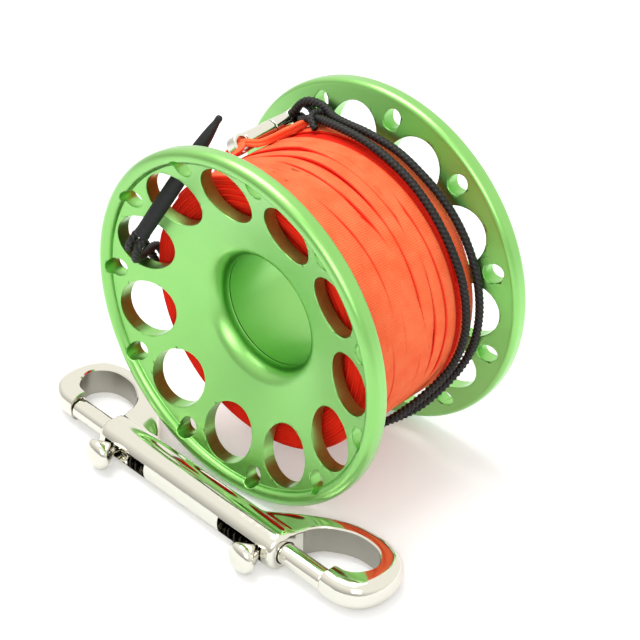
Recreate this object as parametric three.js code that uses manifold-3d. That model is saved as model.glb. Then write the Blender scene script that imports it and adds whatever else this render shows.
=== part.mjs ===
// A divers' finger spool wound with flat line, with its leash cord, swivel and toggle,
// and the double-ended bolt snap that lies in front of it.
// Millimetres. X is to the right, Y runs along the spool's axis to the rear, Z is up.
import * as THREE from 'three';
import { mergeVertices } from 'three/addons/utils/BufferGeometryUtils.js';
import Module from 'manifold-3d';

const wasm = await Module();
wasm.setup();

// Gaps and cutters
const fit = 0.3;
const seatGap = 0.15;
const overrun = 2;

// Flanges: dished discs with a rounded rim lip, placed by their rims' mid-planes
const flangeR = 45;
const flangeSpacing = 51.1;
const beadR = 1.9;
const rimEdgeR = 1.5;
const dishAngle = 18.4;
const web = 3.7;
const boreR = 14.5;
const mouthFilletR = 5.3;
const boreLand = 0.5;
const seatDepth = 3.3;
const spigotWall = 2.25;
const collarWall = 1.95;
const holeCount = 11;
const holePhase = 162.216;
const largeHoleRimWeb = 4.36;
const largeHoleBridge = 4.0834;
const smallHoleRimWeb = 2.7;
const smallHoleR = 2.4;
const flangeSides = 44;

// Winding: flat line on a plain core
const lineBelowRim = 9.7;
const stripWidth = 4.2;
const stripThick = 1.1;
const turnGap = 0.45;
const turnSlant = 0.8;
const slantPhase = 70;
const sideGap = 0.47;
const windingSide = 8.3;
const edgeInset = 0.2;
const foldedWidth = 2.6;
const loopSteps = 24;
const crossoverStart = -60;
const crossoverSpan = 60;

// Swivel: two eyes joined by a rivet, its axis parallel to the spool's
const swivelAngle = 128;
const swivelOffset = 2.8;
const swivelR = 2.3;
const eyeR = 2.5;
const eyeHalfThick = 1.5;
const lineEyeY = 26.4;
const lineEyeHoleR = 1.75;
const cordEyeY = 44.6;
const cordEyeHoleR = 1.45;
const swivelSeamY = 37.5;
const windowR = 1.75;
const windowLength = 4.6;
const windowSlot = 1.3;
const endWall = 1.95;
const rivetR = 0.8;
const rivetHeadR = 1.3;
const rivetHeadThick = 1.3;
const rivetGrip = 2.35;

// Leash cord and toggle
const cordR = 1.05;
const toggleLength = 34.6;
const toggleR = 1.95;
const toggleFootShare = 0.347;
const toggleOutShare = 0.226;
const toggleAcrossShare = 0.188;
const toggleRise = new THREE.Vector3(0.281, 0.515, 0.809);

// Bolt snap
const snapHalf = 58.5;
const snapReach = 18.5;
const snapThick = 7.5;
const snapBevel = 1.6;
const snapClearance = 1.309;
const snapAsideX = -2;
const snapTurn = -5;
const tubeR = 5;
const tubeHalf = 32.3;
const tubeRound = 1.2;
const gateR = 2.6;
const gateInsert = 8.3;
const gateTravel = 11;
const gateTipRound = 0.6;
const gateBoreDepth = 24.3;
const knobInset = 5.3;
const knobReach = 10.8;
const knobR = 4.2;
const stemR = 1.75;
const studR = 1;
const studDepth = 2;
const slotPlay = 0.45;
const springR = 2.15;
const springWireR = 0.25;
const springCurls = 7;
const curlSteps = 8;

const black = new THREE.MeshStandardMaterial({ color: 0x1b1b1e, roughness: 0.75, metalness: 0 });

function green() {
  return new THREE.MeshStandardMaterial({ color: 0x7ccf63, roughness: 0.35, metalness: 0.85 });
}

function orange() {
  return new THREE.MeshStandardMaterial({ color: 0xff5a2b, roughness: 0.6, metalness: 0 });
}

function steel() {
  return new THREE.MeshStandardMaterial({ color: 0xd4d3cf, roughness: 0.15, metalness: 1 });
}

function radians(degrees) {
  return THREE.MathUtils.degToRad(degrees);
}

// A point given by its angle round the spool's axis, its radius and its Y
function around(angle, radius, y) {
  const a = radians(angle);
  return new THREE.Vector3(radius * Math.cos(a), y, radius * Math.sin(a));
}

function arc(r, y, radius, from, to, parts) {
  const points = [];
  for (let i = 0; i <= parts; i += 1) {
    const a = radians(from + (to - from) * i / parts);
    points.push(new THREE.Vector2(r + radius * Math.cos(a), y + radius * Math.sin(a)));
  }
  return points;
}

function signedVolume(position, index) {
  const a = new THREE.Vector3();
  const b = new THREE.Vector3();
  const c = new THREE.Vector3();
  let six = 0;
  for (let i = 0; i < index.length; i += 3) {
    a.fromBufferAttribute(position, index[i]);
    b.fromBufferAttribute(position, index[i + 1]);
    c.fromBufferAttribute(position, index[i + 2]);
    six += a.dot(b.cross(c));
  }
  return six / 6;
}

// A closed geometry with shared corners, without flat triangles and with its faces pointing out
function closed(source) {
  const bare = source.clone();
  bare.deleteAttribute('normal');
  bare.deleteAttribute('uv');
  const merged = mergeVertices(bare);
  const old = merged.index.array;
  const index = [];
  for (let i = 0; i < old.length; i += 3) {
    const [a, b, c] = [old[i], old[i + 1], old[i + 2]];
    if (a !== b && b !== c && c !== a) {
      index.push(a, b, c);
    }
  }
  if (signedVolume(merged.attributes.position, index) < 0) {
    index.reverse();
  }
  merged.setIndex(index);
  return merged;
}

function toSolid(geometry) {
  const shape = closed(geometry);
  const mesh = new wasm.Mesh({
    numProp: 3,
    vertProperties: new Float32Array(shape.attributes.position.array),
    triVerts: new Uint32Array(shape.index.array),
  });
  return new wasm.Manifold(mesh);
}

function toGeometry(solid) {
  const mesh = solid.getMesh();
  const geometry = new THREE.BufferGeometry();
  geometry.setAttribute('position', new THREE.BufferAttribute(new Float32Array(mesh.vertProperties), 3));
  geometry.setIndex(Array.from(mesh.triVerts));
  return geometry;
}

function piece(name, geometry, material) {
  const shape = geometry.index ? geometry : closed(geometry);
  shape.computeVertexNormals();
  const mesh = new THREE.Mesh(shape, material);
  mesh.name = name;
  return mesh;
}

function turned(profile, sides) {
  return closed(new THREE.LatheGeometry([...profile, profile[0].clone()], sides));
}

// A round bar along Y from one place to another
function bar(radius, from, to, sides) {
  const geometry = new THREE.CylinderGeometry(radius, radius, to - from, sides);
  geometry.translate(0, (from + to) / 2, 0);
  return geometry;
}

// Joins rings of points into one closed body with flat ends
function loft(rings) {
  const sides = rings[0].length;
  const corners = rings.flat();
  const index = [];
  for (let i = 0; i + 1 < rings.length; i += 1) {
    for (let j = 0; j < sides; j += 1) {
      const a = i * sides + j;
      const b = i * sides + (j + 1) % sides;
      index.push(a, b, a + sides, b, b + sides, a + sides);
    }
  }
  const last = (rings.length - 1) * sides;
  for (let j = 1; j + 1 < sides; j += 1) {
    index.push(0, j + 1, j, last, last + j, last + j + 1);
  }
  const geometry = new THREE.BufferGeometry().setFromPoints(corners);
  geometry.setIndex(index);
  return closed(geometry);
}

// The least distance between rings that lie more than a few steps apart
function leastGap(rings, apart) {
  let least = Infinity;
  for (let i = 0; i < rings.length; i += 1) {
    for (let j = i + apart; j < rings.length; j += 1) {
      for (const p of rings[i]) {
        for (const q of rings[j]) {
          least = Math.min(least, p.distanceTo(q));
        }
      }
    }
  }
  return least;
}

// Values that several pieces share
const dish = Math.tan(radians(dishAngle));
const beadIn = flangeR - 2 * beadR;
const mouthR = boreR + mouthFilletR;
const mouthY = outerFace(mouthR) + mouthFilletR / Math.cos(radians(dishAngle));
const seatY = mouthY + boreLand;
const collarY = seatY + seatDepth;
const spigotR = boreR + spigotWall;
const collarIn = spigotR + fit;
const hubR = collarIn + collarWall;
const holeStep = 360 / holeCount;
const holeSpread = Math.sin(Math.PI / holeCount);
const largeHoleR = ((flangeR - largeHoleRimWeb) * holeSpread - largeHoleBridge / 2) / (1 + holeSpread);
const largeHoleCircle = flangeR - largeHoleRimWeb - largeHoleR;
const smallHoleCircle = flangeR - smallHoleRimWeb - smallHoleR;
const windingR = flangeR - lineBelowRim;
const turnIn = windingR - stripThick;
const coreR = turnIn * Math.cos(Math.PI / loopSteps) - fit;
const coreIn = hubR + fit;
const firstTurnY = windingSide + edgeInset + stripWidth / 2 + turnSlant;
const lastTurnY = flangeSpacing - firstTurnY;
const turnCount = 1 + Math.floor((lastTurnY - firstTurnY) / (stripWidth + turnGap));
const turnPitch = (lastTurnY - firstTurnY) / (turnCount - 1);
const swivelAxisR = windingR + swivelOffset;

// The web's outer and inner faces, as Y over the radius
function outerFace(r) {
  return dish * (beadIn - r);
}

function innerFace(r) {
  return outerFace(r) + web;
}

function flangeProfile() {
  const edgeCentreR = flangeR - rimEdgeR;
  const edgeCentreY = innerFace(edgeCentreR) - rimEdgeR;
  return [
    ...arc(mouthR, mouthY, mouthFilletR, 270 - dishAngle, 180, 4),
    new THREE.Vector2(boreR, seatY),
    new THREE.Vector2(collarIn, seatY),
    new THREE.Vector2(collarIn, collarY),
    new THREE.Vector2(hubR, collarY),
    new THREE.Vector2(hubR, innerFace(hubR)),
    ...arc(edgeCentreR, edgeCentreY, rimEdgeR, 90, 0, 2),
    ...arc(flangeR - beadR, 0, beadR, 0, -180, 5),
  ];
}

// One disc with its rim lip toward -Y and its two rings of holes
function flangeShape(phase) {
  let solid = toSolid(turned(flangeProfile(), flangeSides));
  for (let i = 0; i < holeCount; i += 1) {
    const large = around(phase + holeStep * i, largeHoleCircle, 0);
    const small = around(phase + holeStep * (i + 0.5), smallHoleCircle, 0);
    const from = -beadR - overrun;
    const to = innerFace(largeHoleCircle - largeHoleR) + overrun;
    solid = solid.subtract(toSolid(bar(largeHoleR, from, to, 24).translate(large.x, 0, large.z)));
    solid = solid.subtract(toSolid(bar(smallHoleR, from, to, 10).translate(small.x, 0, small.z)));
  }
  return toGeometry(solid);
}

// Barrel with a spigot at each end, seated in the flanges' collars
function hubShape() {
  const end = seatY + seatGap;
  const shoulder = collarY + fit;
  return turned([
    new THREE.Vector2(boreR, end),
    new THREE.Vector2(spigotR, end),
    new THREE.Vector2(spigotR, shoulder),
    new THREE.Vector2(hubR, shoulder),
    new THREE.Vector2(hubR, flangeSpacing - shoulder),
    new THREE.Vector2(spigotR, flangeSpacing - shoulder),
    new THREE.Vector2(spigotR, flangeSpacing - end),
    new THREE.Vector2(boreR, flangeSpacing - end),
  ], flangeSides);
}

// The wound line under its outer turns, which follows the webs near the hub
function coreShape() {
  const stationShares = [0, 0.3, 0.64, 1];
  const front = stationShares.map((share) => {
    const r = coreIn + (coreR - coreIn) * share;
    return new THREE.Vector2(r, Math.max(innerFace(r) + sideGap, windingSide));
  });
  const rear = front.map((p) => new THREE.Vector2(p.x, flangeSpacing - p.y)).reverse();
  return turned([...front, ...rear], flangeSides);
}

// One flattened section of the line, square to its run and lying on the winding
function stripRing(centre, along, width) {
  const out = new THREE.Vector3(centre.x, 0, centre.z).normalize();
  out.addScaledVector(along, -out.dot(along)).normalize();
  const across = new THREE.Vector3().crossVectors(along, out);
  const sectionShares = [[1, 0], [0.8, 1], [-0.8, 1], [-1, 0], [-0.8, -1], [0.8, -1]];
  return sectionShares.map(([a, o]) => centre.clone()
    .addScaledVector(across, a * width / 2)
    .addScaledVector(out, o * stripThick / 2));
}

// Turns run round at a steady Y and step over by one pitch under the spool
function turnPoints() {
  const points = [];
  const start = crossoverStart - crossoverSpan;
  const total = turnCount * 360 - crossoverSpan;
  const step = 360 / loopSteps;
  for (let swept = 0; swept <= total; swept += step) {
    const inTurn = swept % 360;
    const over = THREE.MathUtils.smoothstep(inTurn, 360 - crossoverSpan, 360);
    const slant = turnSlant * Math.sin(radians(start - swept + slantPhase));
    const y = firstTurnY + turnPitch * (Math.floor(swept / 360) + over) + slant;
    points.push({ at: around(start - swept, turnIn + stripThick / 2, y), width: stripWidth });
  }
  return points;
}

// The line's end climbs over the turns, goes through the swivel's eye and lies down again
function tailPoints() {
  const low = turnIn + stripThick / 2;
  const high = windingR + turnGap + stripThick;
  const eye = swivelAxisR;
  const rear = lastTurnY;
  const drop = lastTurnY - lineEyeY;
  const route = [
    [-72, low + (high - low) * 0.25, rear, stripWidth],
    [-84, low + (high - low) * 0.75, rear - drop * 0.01, stripWidth],
    [-96, high, rear - drop * 0.04, stripWidth],
    [-110, high, rear - drop * 0.12, stripWidth],
    [-125, high, rear - drop * 0.24, stripWidth],
    [-140, high, rear - drop * 0.38, stripWidth],
    [-155, high, rear - drop * 0.53, stripWidth],
    [-170, high, rear - drop * 0.68, stripWidth],
    [-185, high, rear - drop * 0.81, stripWidth],
    [-198, high, rear - drop * 0.91, stripWidth],
    [-208, high, rear - drop * 0.97, (stripWidth + foldedWidth) / 2],
    [-216, high + (eye - high) * 0.3, lineEyeY, foldedWidth],
    [-223, high + (eye - high) * 0.85, lineEyeY, foldedWidth],
    [-228, eye, lineEyeY, foldedWidth],
    [-232, eye, lineEyeY, foldedWidth],
    [-235.6, eye, lineEyeY - eyeR * 0.08, foldedWidth],
    [-238, high + (eye - high) * 0.85, lineEyeY - eyeR * 0.55, foldedWidth],
    [-239.6, high + (eye - high) * 0.5, lineEyeY - eyeR * 1.4, foldedWidth],
    [-240.6, high + (eye - high) * 0.15, lineEyeY - eyeR * 2.4, foldedWidth],
    [-241.2, high, lineEyeY - eyeR * 3.5, foldedWidth],
    [-241.4, high, lineEyeY - eyeR * 4.7, foldedWidth],
  ];
  return route.map(([angle, radius, y, width]) => ({ at: around(angle, radius, y), width }));
}

function lineRings() {
  const points = [...turnPoints(), ...tailPoints()];
  return points.map((point, i) => {
    const before = points[Math.max(i - 1, 0)].at;
    const after = points[Math.min(i + 1, points.length - 1)].at;
    const along = after.clone().sub(before).normalize();
    return stripRing(point.at, along, point.width);
  });
}

// An eye's flat disc with its hole across the swivel's axis
function eyeDisc(y) {
  const disc = bar(eyeR, -eyeHalfThick, eyeHalfThick, 20);
  return toSolid(disc.rotateZ(Math.PI / 2).translate(0, y, 0));
}

function eyeHole(y, radius) {
  const cutter = bar(radius, -eyeR - overrun, eyeR + overrun, 16);
  return toSolid(cutter.rotateZ(Math.PI / 2).translate(0, y, 0));
}

function lineEyeShape() {
  const seam = swivelSeamY - fit / 2;
  const barrel = toSolid(bar(swivelR, lineEyeY + lineEyeHoleR + seatGap, seam, 20));
  const roomTo = seam - endWall;
  const room = toSolid(bar(windowR, roomTo - windowLength, roomTo, 16));
  const slot = new THREE.BoxGeometry(windowSlot, windowLength, 2 * (swivelR + overrun));
  const slotCut = toSolid(slot.translate(0, roomTo - windowLength / 2, 0));
  const shaft = toSolid(bar(rivetR + fit, roomTo - overrun / 2, seam + overrun, 12));
  const whole = barrel.add(eyeDisc(lineEyeY)).subtract(eyeHole(lineEyeY, lineEyeHoleR));
  return toGeometry(whole.subtract(room).subtract(slotCut).subtract(shaft));
}

function cordEyeShape() {
  const seam = swivelSeamY + fit / 2;
  const barrel = toSolid(bar(swivelR, seam, cordEyeY - cordEyeHoleR - seatGap, 20));
  const shaft = toSolid(bar(rivetR + fit, seam - overrun, seam + rivetGrip + fit, 12));
  const whole = barrel.add(eyeDisc(cordEyeY)).subtract(eyeHole(cordEyeY, cordEyeHoleR));
  return toGeometry(whole.subtract(shaft));
}

// Headed pin: the head turns in the line eye's window, the shaft is fixed in the cord eye
function rivetShape() {
  const headTo = swivelSeamY - fit / 2 - endWall - fit;
  const head = toSolid(bar(rivetHeadR, headTo - rivetHeadThick, headTo, 16));
  const tip = swivelSeamY + fit / 2 + rivetGrip;
  const shaft = toSolid(bar(rivetR, headTo - rivetHeadThick / 2, tip, 12));
  return toGeometry(head.add(shaft));
}

// Runs its points by number, so that each step of a tube ends on a point of the route
class Route extends THREE.CatmullRomCurve3 {
  getPointAt(u, target) {
    return this.getPoint(u, target);
  }

  getTangentAt(u, target) {
    return this.getTangent(u, target);
  }
}

// The doubled cord, from the toggle round the winding to the cord eye and back:
// angle round the axis, height over the winding and Y of each point
const cordRoute = [
  [149.4, -2.8, -3.72], [152.66, -3.12, -4.85], [157.6, -2.8, -4.2], [161.8, -1.1, -1.3],
  [165.2, 0.1, 2.1], [168.6, 1.5, 5.4], [173.4, 2.8, 8.3], [181, 2.4, 10.7],
  [190, 1.8, 12.8], [203, 1.6, 14.5], [216, 1.6, 15.8], [229, 1.6, 17.1],
  [242, 1.6, 18.3], [255, 1.6, 19.6], [268, 1.6, 20.9], [281, 1.6, 22.2],
  [294, 1.6, 23.4], [305, 1.6, 24.6], [313, 1.6, 26.1], [320, 1.6, 28.7],
  [327, 1.6, 32.2], [334, 1.6, 35.9], [342, 1.6, 38.4], [353, 1.6, 39.6],
  [365, 1.6, 39.6], [378, 1.6, 39.3], [391, 1.6, 38.8], [404, 1.6, 38.6],
  [417, 1.6, 38.6], [430, 1.6, 38.5], [443, 1.6, 38.6], [455, 1.7, 38.9],
  [466, 2.1, 40.2], [474, 2.6, 42.0], [480, 2.8, 43.6], [484.5, 2.85, 44.5],
  [488, 2.8, 44.6], [491.8, 2.85, 44.6], [494.8, 3.6, 44.7], [496.0, 5, 44.9],
  [494.6, 6.5, 45.1], [491, 7.1, 45.2], [486.5, 6.95, 45.3], [481, 6.4, 45.4],
  [474, 5.3, 45.3], [466, 3.6, 44.8], [456, 2, 43.9], [443, 1.6, 42.7],
  [430, 1.6, 42.5], [417, 1.6, 42.8], [404, 1.6, 43.6], [391, 1.6, 44.1],
  [378, 1.6, 44.4], [365, 1.6, 44.5], [353, 1.6, 44.5], [342, 1.6, 44.2],
  [334, 1.9, 42.3], [327, 2.4, 38.4], [320, 2.7, 34.2], [313, 2.4, 30.9],
  [305, 1.9, 28.2], [294, 1.6, 26.3], [281, 1.6, 24.7], [268, 1.6, 23.4],
  [255, 1.6, 22.1], [242, 1.6, 20.8], [229, 1.6, 19.6], [216, 1.6, 18.3],
  [203, 1.6, 17.0], [190, 1.6, 15.4], [181, 1.7, 13.3], [173.9, 1.4, 10.6],
  [170.5, -0.3, 6.0], [168.4, -2.2, 2.2], [164.8, -3.7, -1.2], [160.2, -5.5, -4.1],
  [151.96, -5.65, -4.85], [148.43, -5.31, -3.72],
];

function cordSection() {
  const points = [];
  for (let i = 0; i < 8; i += 1) {
    const a = radians(i * 45);
    points.push(new THREE.Vector2(cordR * Math.cos(a), cordR * Math.sin(a)));
  }
  return new THREE.Shape(points);
}

function cordShape() {
  const curve = new Route(cordRoute.map(([angle, above, y]) => around(angle, windingR + above, y)));
  return new THREE.ExtrudeGeometry(cordSection(), { steps: cordRoute.length - 1, extrudePath: curve });
}

// A soft rod, widest at its middle and drawn to a blunt tip, along Y from its lower end
function toggleShape() {
  const profileShares = [
    [0, 0], [0.72, 0], [0.86, 0.015], [0.96, 0.12], [1, 0.25], [1, 0.62],
    [0.9, 0.76], [0.66, 0.91], [0.44, 0.985], [0.3, 1], [0, 1],
  ];
  const points = profileShares.map(([r, y]) => new THREE.Vector2(r * toggleR, y * toggleLength));
  return closed(new THREE.LatheGeometry(points, 16));
}

function toggleFoot() {
  const angle = holePhase - holeStep;
  const outShift = toggleOutShare * largeHoleR;
  const across = radians(angle + 90);
  const acrossShift = toggleAcrossShare * largeHoleR;
  const through = around(angle, largeHoleCircle + outShift, outerFace(largeHoleCircle));
  through.x += Math.cos(across) * acrossShift;
  through.z += Math.sin(across) * acrossShift;
  return through.addScaledVector(toggleRise.clone().normalize(), -toggleFootShare * toggleLength);
}

// The snap's own frame: X along its tube, Y toward its hooks, Z up
const hookOuterShares = [
  [0.25, -0.1], [0.25, 0.2], [0.34, 0.28], [0.42, 0.5], [0.53, 0.757], [0.62, 0.9], [0.7, 0.973],
  [0.82, 1], [0.923, 0.892], [0.975, 0.7], [1, 0.46], [0.995, 0.2], [0.957, 0.0],
  [0.88, -0.13], [0.791, -0.14],
];
const hookInnerShares = [
  [0.791, 0.146], [0.838, 0.157], [0.88, 0.249], [0.906, 0.443], [0.889, 0.595],
  [0.838, 0.72], [0.76, 0.751], [0.684, 0.703], [0.603, 0.551], [0.563, 0.4],
  [0.545, 0.189], [0.52, -0.1],
];
const noseFaceShare = 0.791;
const gateTip = noseFaceShare * snapHalf - fit;
const gateInner = tubeHalf - gateInsert;
const gateBoreR = gateR + fit;
const gateBoreEnd = tubeHalf - gateBoreDepth;
const knobAt = tubeHalf - knobInset;

function hookShape(side) {
  const outline = [...hookOuterShares, ...hookInnerShares];
  const points = outline.map(([u, w]) => new THREE.Vector2(side * u * snapHalf, w * snapReach));
  const depth = snapThick - 2 * snapBevel;
  const geometry = new THREE.ExtrudeGeometry(new THREE.Shape(points), {
    depth,
    steps: 1,
    bevelThickness: snapBevel,
    bevelSize: snapBevel,
    bevelOffset: -snapBevel,
    bevelSegments: 2,
  });
  return toSolid(geometry.translate(0, 0, -depth / 2));
}

function tubeShape() {
  const profile = [
    new THREE.Vector2(0, -tubeHalf),
    ...arc(tubeR - tubeRound, -tubeHalf + tubeRound, tubeRound, -90, 0, 2),
    ...arc(tubeR - tubeRound, tubeHalf - tubeRound, tubeRound, 0, 90, 2),
    new THREE.Vector2(0, tubeHalf),
  ];
  return toSolid(new THREE.LatheGeometry(profile, 24).rotateZ(-Math.PI / 2));
}

// The bore and the knob's slot of one end, cut from the tube and the hook's root
function gateCuts(side) {
  const bore = bar(gateBoreR, gateBoreEnd, noseFaceShare * snapHalf, 20).rotateZ(-Math.PI / 2);
  const from = knobAt - gateTravel - stemR - slotPlay;
  const to = knobAt + stemR + slotPlay;
  const slot = new THREE.BoxGeometry(to - from, tubeR + overrun, 2 * (stemR + fit));
  slot.translate((from + to) / 2, -(tubeR + overrun) / 2, 0);
  const turn = side < 0 ? Math.PI : 0;
  return toSolid(bore.rotateY(turn)).add(toSolid(slot.rotateY(turn)));
}

function snapBodyShape() {
  const whole = tubeShape().add(hookShape(1)).add(hookShape(-1));
  return toGeometry(whole.subtract(gateCuts(1)).subtract(gateCuts(-1)));
}

function gateShape() {
  const profile = [
    new THREE.Vector2(0, gateInner),
    new THREE.Vector2(gateR, gateInner),
    new THREE.Vector2(gateR, gateTip - gateTipRound),
    new THREE.Vector2(gateR - gateTipRound, gateTip),
    new THREE.Vector2(0, gateTip),
  ];
  const rod = toSolid(new THREE.LatheGeometry(profile, 20).rotateZ(-Math.PI / 2));
  const hole = bar(studR + fit, -gateR - overrun, -gateR + studDepth + fit, 12);
  return toGeometry(rod.subtract(toSolid(hole.translate(knobAt, 0, 0))));
}

// A mushroom knob on a stud, pointing away from the hooks
function knobShape() {
  const seat = gateR + fit;
  const reach = knobReach - seat;
  const profileShares = [
    [stemR / knobR, 0], [stemR / knobR, 0.42], [0.52, 0.55], [0.78, 0.68], [1, 0.76],
    [1, 0.83], [0.9, 0.92], [0.55, 0.985], [0, 1],
  ];
  const profile = [
    new THREE.Vector2(0, gateR - studDepth),
    new THREE.Vector2(studR, gateR - studDepth),
    new THREE.Vector2(studR, seat),
    ...profileShares.map(([r, h]) => new THREE.Vector2(r * knobR, seat + h * reach)),
  ];
  const geometry = new THREE.LatheGeometry(profile, 16).rotateZ(Math.PI);
  return closed(geometry.translate(knobAt, 0, 0));
}

function springCurve() {
  const from = gateBoreEnd + fit + springWireR;
  const to = gateInner - fit - springWireR;
  const points = [];
  for (let i = 0; i <= springCurls * curlSteps; i += 1) {
    const a = radians(i * 360 / curlSteps);
    const x = from + (to - from) * i / (springCurls * curlSteps);
    points.push(new THREE.Vector3(x, springR * Math.sin(a), springR * Math.cos(a)));
  }
  return new Route(points);
}

function springShape() {
  const section = [];
  for (let i = 0; i < 5; i += 1) {
    const a = radians(i * 72);
    section.push(new THREE.Vector2(springWireR * Math.cos(a), springWireR * Math.sin(a)));
  }
  const steps = springCurls * curlSteps;
  return new THREE.ExtrudeGeometry(new THREE.Shape(section), { steps, extrudePath: springCurve() });
}

function addFlanges(group) {
  group.add(piece('front_flange', flangeShape(holePhase), green()));
  const rear = new THREE.Group();
  rear.position.y = flangeSpacing;
  rear.rotation.z = Math.PI;
  rear.add(piece('rear_flange', flangeShape(180 - holePhase), green()));
  group.add(rear);
  group.add(piece('hub_tube', hubShape(), green()));
}

function addLine(group) {
  const rings = lineRings();
  console.log('line: least gap to itself', leastGap(rings, loopSteps / 4).toFixed(2), 'mm');
  group.add(piece('line_core', coreShape(), orange()));
  group.add(piece('line_outer_turns', loft(rings), orange()));
}

function addSwivel(group) {
  const swivel = new THREE.Group();
  swivel.position.copy(around(swivelAngle, swivelAxisR, 0));
  swivel.rotation.y = radians(90 - swivelAngle);
  swivel.add(piece('swivel_line_eye', lineEyeShape(), steel()));
  swivel.add(piece('swivel_cord_eye', cordEyeShape(), steel()));
  swivel.add(piece('swivel_rivet', rivetShape(), steel()));
  group.add(swivel);
}

function addLeash(group) {
  group.add(piece('leash_cord', cordShape(), black));
  const toggle = piece('toggle', toggleShape(), black);
  toggle.position.copy(toggleFoot());
  const up = new THREE.Vector3(0, 1, 0);
  toggle.quaternion.setFromUnitVectors(up, toggleRise.clone().normalize());
  group.add(toggle);
}

// The snap's Y, at which the backs of its arms just clear the front flange's lip
function snapPlaceY() {
  const parts = 20;
  const levels = [[tubeR + snapThick / 2 - snapBevel, 0], [tubeR + snapThick / 2, snapBevel]];
  let y = -beadR - snapClearance - tubeR;
  for (let i = 0; i < (hookOuterShares.length - 1) * parts; i += 1) {
    const from = new THREE.Vector2(...hookOuterShares[Math.floor(i / parts)]);
    const to = new THREE.Vector2(...hookOuterShares[Math.floor(i / parts) + 1]);
    const [u, w] = from.lerp(to, i % parts / parts).toArray();
    for (const [height, inset] of levels) {
      for (const side of [-1, 1]) {
        const back = new THREE.Vector2(side * u * snapHalf, w * snapReach - inset);
        back.rotateAround(new THREE.Vector2(), radians(snapTurn));
        const fromLip = Math.hypot(back.x + snapAsideX, flangeR - height) - (flangeR - beadR);
        if (Math.abs(fromLip) < beadR) {
          y = Math.min(y, -Math.sqrt(beadR ** 2 - fromLip ** 2) - snapClearance - back.y);
        }
      }
    }
  }
  return y;
}

function addSnap(group) {
  const snap = new THREE.Group();
  snap.position.set(snapAsideX, snapPlaceY(), tubeR - flangeR);
  snap.rotation.z = radians(snapTurn);
  snap.add(piece('snap_body', snapBodyShape(), steel()));
  for (const [name, turn] of [['left', Math.PI], ['right', 0]]) {
    const end = new THREE.Group();
    end.rotation.y = turn;
    end.add(piece(`snap_gate_${name}`, gateShape(), steel()));
    end.add(piece(`snap_knob_${name}`, knobShape(), steel()));
    end.add(piece(`snap_spring_${name}`, springShape(), steel()));
    snap.add(end);
  }
  group.add(snap);
}

const spool = new THREE.Group();
addFlanges(spool);
addLine(spool);
addSwivel(spool);
addLeash(spool);
addSnap(spool);

// The origin is under the middle of the whole, on the surface that it stands on
const extent = new THREE.Box3().setFromObject(spool, true);
const middle = extent.getCenter(new THREE.Vector3());
spool.position.set(-middle.x, -middle.y, -extent.min.z);
console.log('shift to the origin', spool.position.toArray().map((v) => v.toFixed(3)).join(' '));

export default spool;
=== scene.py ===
# %% [markdown]
# # A divers' finger spool
# Two dished aluminium flanges sit on a short tube, and flat braided line is wound between them.
# A black cord with a steel swivel holds the line's end, and a double-ended bolt snap lies in front.
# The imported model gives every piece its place. Here each one gets its fine shape and its finish.

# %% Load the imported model
import math

import bmesh
import bpy
from mathutils import Matrix, Vector, noise


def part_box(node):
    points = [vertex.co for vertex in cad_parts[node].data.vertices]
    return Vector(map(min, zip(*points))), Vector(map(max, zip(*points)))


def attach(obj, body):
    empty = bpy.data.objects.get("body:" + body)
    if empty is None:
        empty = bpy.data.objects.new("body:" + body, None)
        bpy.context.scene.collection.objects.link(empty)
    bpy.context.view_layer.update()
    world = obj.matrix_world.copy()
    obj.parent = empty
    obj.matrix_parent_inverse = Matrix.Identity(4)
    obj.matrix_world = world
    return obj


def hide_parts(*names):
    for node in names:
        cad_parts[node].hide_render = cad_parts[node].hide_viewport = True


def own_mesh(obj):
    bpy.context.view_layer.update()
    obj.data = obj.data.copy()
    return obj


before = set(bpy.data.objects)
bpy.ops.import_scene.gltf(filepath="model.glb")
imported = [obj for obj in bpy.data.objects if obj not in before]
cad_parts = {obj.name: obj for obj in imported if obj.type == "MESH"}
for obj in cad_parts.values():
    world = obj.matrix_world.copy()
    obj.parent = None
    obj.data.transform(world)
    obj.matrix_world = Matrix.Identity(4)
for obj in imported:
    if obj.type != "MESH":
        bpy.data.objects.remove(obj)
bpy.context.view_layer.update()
print("nodes:", ", ".join(sorted(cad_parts)))

# %% [markdown]
# ## The spool's own frame
# A spool is easiest to draw round its own axis: millimetres, Y along the axis, and the front
# rim's middle at zero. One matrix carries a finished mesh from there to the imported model's place.

# %% The spool's frame
MM = 0.001
bead_r = 1.9
hub_low, hub_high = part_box("hub_tube")
front_low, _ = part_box("front_flange")
spool_at = Vector(((hub_low.x + hub_high.x) / 2, front_low.y + bead_r * MM, (hub_low.z + hub_high.z) / 2))
to_row = Matrix.Translation(spool_at) @ Matrix.Scale(MM, 4)
print("spool's axis at", [round(v, 5) for v in spool_at])


def around(angle, radius, y):
    """The point at an angle round the spool's axis, a radius from it and a place along it."""
    a = math.radians(angle)
    return Vector((radius * math.cos(a), y, radius * math.sin(a)))


def smooth_path(points, step):
    """A smooth curve through points, cut into steps of one length."""
    fine = []
    for i in range(len(points) - 1):
        p0, p1 = points[max(i - 1, 0)], points[i]
        p2, p3 = points[i + 1], points[min(i + 2, len(points) - 1)]
        for part in range(24):
            t = part / 24
            fine.append(0.5 * (2 * p1 + (p2 - p0) * t + (2 * p0 - 5 * p1 + 4 * p2 - p3) * t * t
                               + (3 * p1 - p0 - 3 * p2 + p3) * t**3))
    fine.append(points[-1].copy())
    even, spare = [fine[0]], 0.0
    for a, b in zip(fine, fine[1:]):
        length = (b - a).length
        while spare + length >= step:
            a = a.lerp(b, (step - spare) / length)
            length = (b - a).length
            spare = 0.0
            even.append(a)
        spare += length
    return even


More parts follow.
